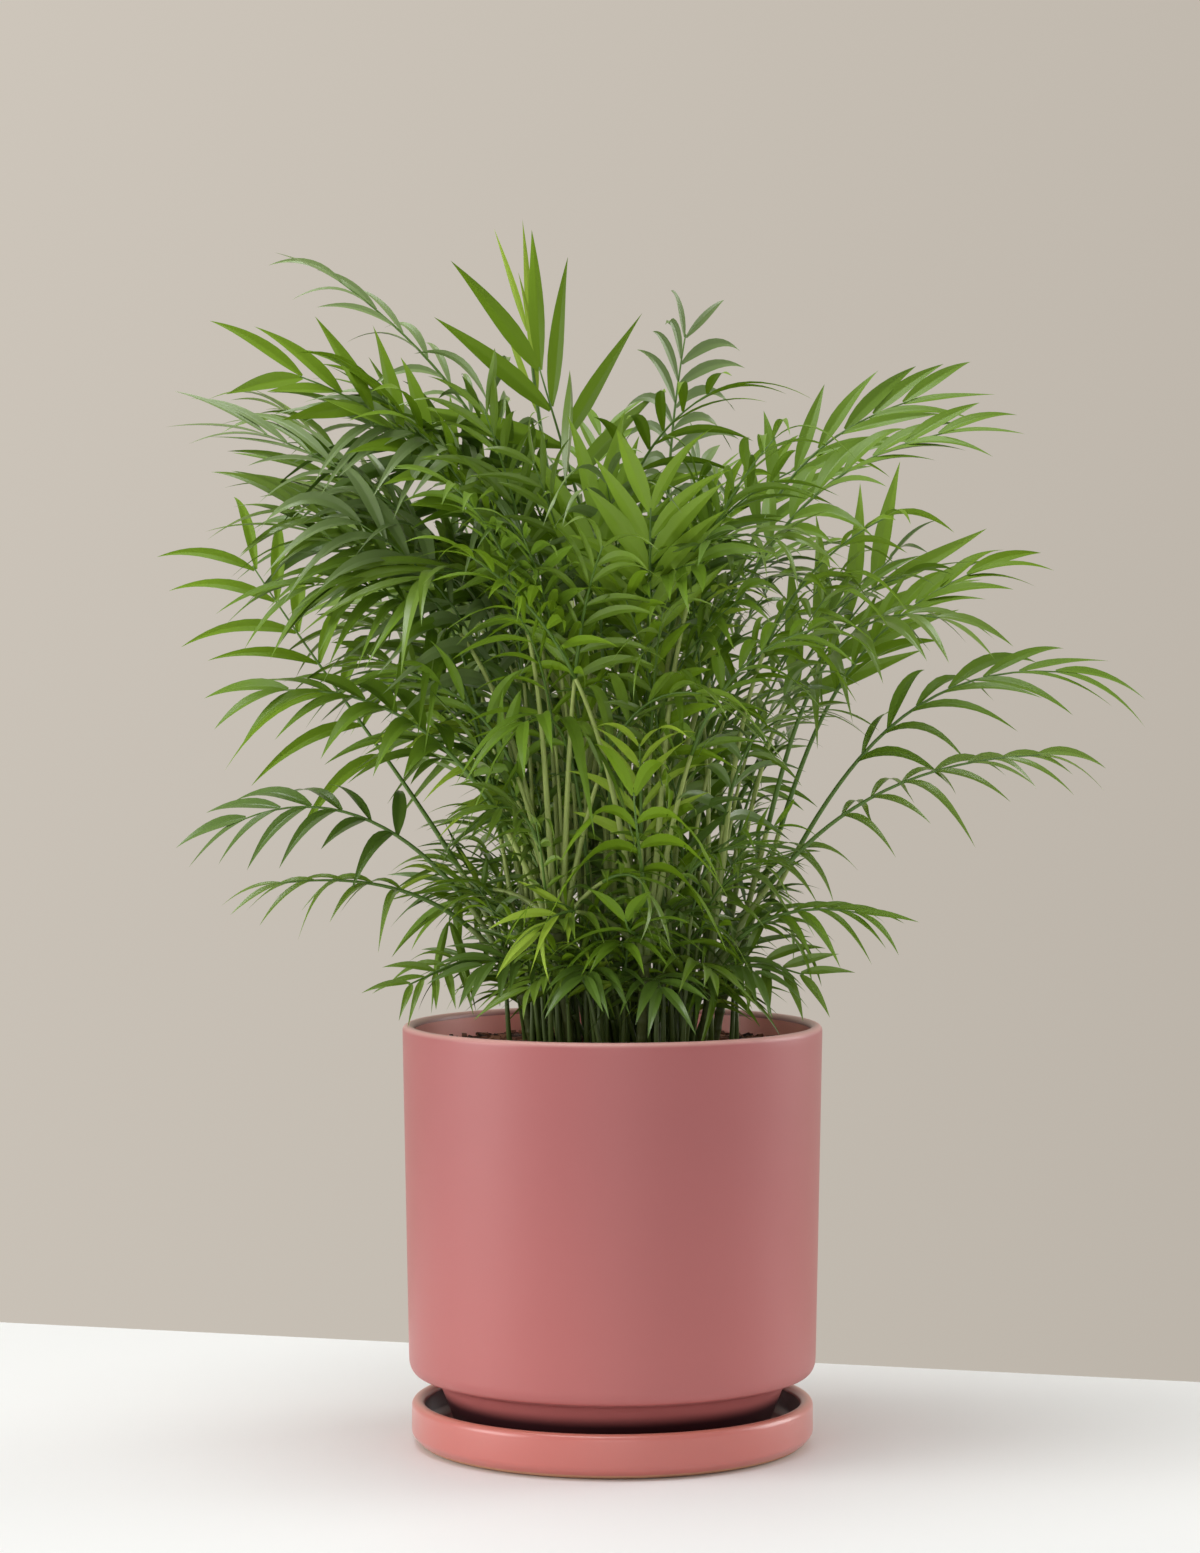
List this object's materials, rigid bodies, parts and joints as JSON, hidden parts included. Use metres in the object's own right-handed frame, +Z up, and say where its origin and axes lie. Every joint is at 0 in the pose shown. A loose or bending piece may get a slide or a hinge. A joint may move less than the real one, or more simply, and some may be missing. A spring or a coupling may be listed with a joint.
{
  "type": "potted parlour palm",
  "caption": "Bushy parlour palm of feathered green fronds on short stems, in a straight-sided glazed pot that stands in its round saucer.",
  "frame": {"origin": "centre of the saucer's flat underside, on the pot's axis", "axes": "+Z up along the pot's axis; -Y is the front of the plant as pictured, +X its right"},
  "size_m": [0.515, 0.3884, 0.635],
  "materials": {
    "leaf": "smooth green palm leaflet, softly glossy, with fine lengthwise veins",
    "stem": "pale yellow-green stem and stalk, smooth and slightly waxy",
    "pot_glaze": "satin dusty-pink glaze over stoneware, fine grain",
    "saucer_glaze": "satin pink glaze, warmer on the rim, with an unglazed tan foot edge",
    "bark_mix": "loose dark bark and peat crumb"
  },
  "bodies": {
    "root": {"frond_back_small": "leaf", "frond_centre_bright": "leaf", "frond_front_bright": "leaf", "frond_front_low": "leaf", "frond_left_bright": "leaf", "frond_left_fresh": "leaf", "frond_left_grey": "leaf", "frond_left_low": "leaf", "frond_left_lowest": "leaf", "frond_left_middle": "leaf", "frond_left_rim": "leaf", "frond_left_top": "leaf", "frond_right_blades": "leaf", "frond_right_hanging": "leaf", "frond_right_long": "leaf", "frond_right_low": "leaf", "frond_right_lowest": "leaf", "frond_right_middle": "leaf", "frond_right_rim": "leaf", "frond_right_top": "leaf", "frond_right_upper": "leaf", "frond_spear": "leaf", "frond_top_curled": "leaf", "frond_top_fan": "leaf", "fronds_01a": "leaf", "fronds_02a": "leaf", "fronds_02b": "leaf", "fronds_02c": "leaf", "fronds_03a": "leaf", "fronds_03b": "leaf", "fronds_03c": "leaf", "fronds_04a": "leaf", "fronds_04b": "leaf", "fronds_04c": "leaf", "fronds_06a": "leaf", "fronds_06b": "leaf", "fronds_06c": "leaf", "fronds_07a": "leaf", "fronds_07b": "leaf", "fronds_08a": "leaf", "fronds_10a": "leaf", "fronds_10b": "leaf", "fronds_11a": "leaf", "fronds_11b": "leaf", "fronds_12a": "leaf", "pot": "pot_glaze", "potting_mix": "bark_mix", "saucer": "saucer_glaze", "stem_01": "stem", "stem_02": "stem", "stem_03": "stem", "stem_04": "stem", "stem_05": "stem", "stem_06": "stem", "stem_07": "stem", "stem_08": "stem", "stem_09": "stem", "stem_10": "stem", "stem_11": "stem", "stem_12": "stem"}
  },
  "joints": []
}
